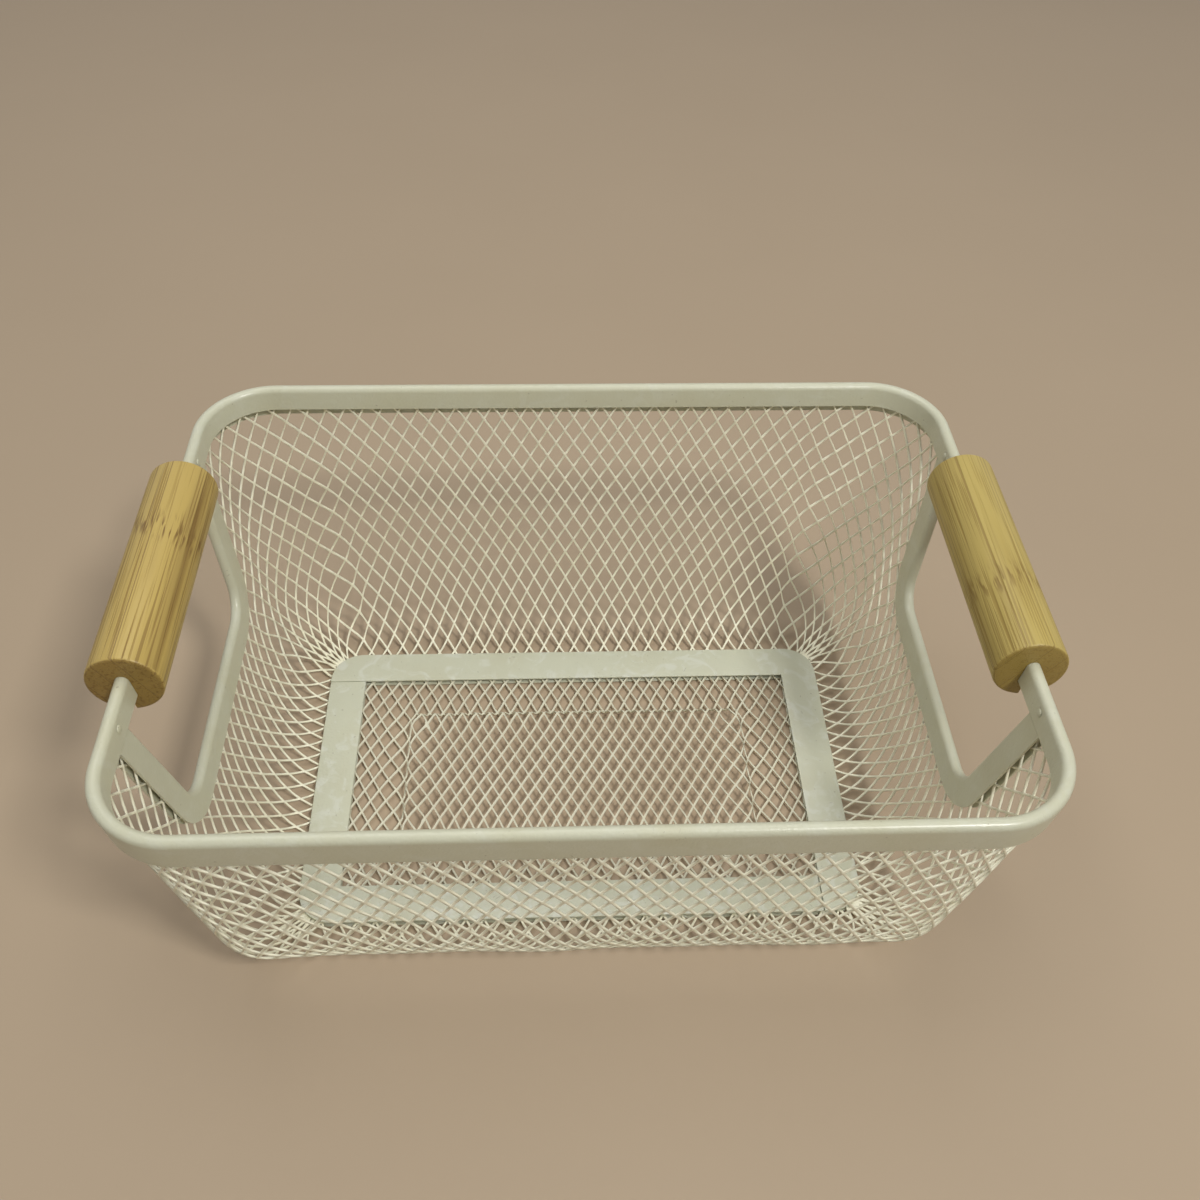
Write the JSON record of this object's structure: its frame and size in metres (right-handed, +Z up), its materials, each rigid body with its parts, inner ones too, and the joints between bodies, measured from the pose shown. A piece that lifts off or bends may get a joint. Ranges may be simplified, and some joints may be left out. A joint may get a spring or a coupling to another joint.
{
  "type": "mesh storage basket",
  "caption": "Open storage basket with expanded metal walls gathered onto a flat base frame, a folded metal rim, and bamboo grips over handle cut-outs at both ends.",
  "frame": {"origin": "middle of the footprint on the table, under the middle of the basket", "axes": "+X along the length towards the right grip, +Y across the width towards the back, +Z up"},
  "size_m": [0.3098, 0.211, 0.1292],
  "materials": {
    "mesh": "satin cream powder coat",
    "strip": "satin cream powder coat",
    "frame": "satin cream powder coat",
    "bamboo": "laminated bamboo, thin clear oil"
  },
  "bodies": {
    "root": {"wall_mesh": "mesh", "base_mesh": "mesh", "rim_band": "strip", "left_cutout_band": "strip", "right_cutout_band": "strip", "upper_frame_back_right": "frame", "upper_frame_front_left": "frame", "lower_frame_back_right": "frame", "lower_frame_front_left": "frame", "left_front_weld": "strip", "left_back_weld": "strip", "right_front_weld": "strip", "right_back_weld": "strip", "left_grip": "bamboo", "right_grip": "bamboo"}
  },
  "joints": []
}
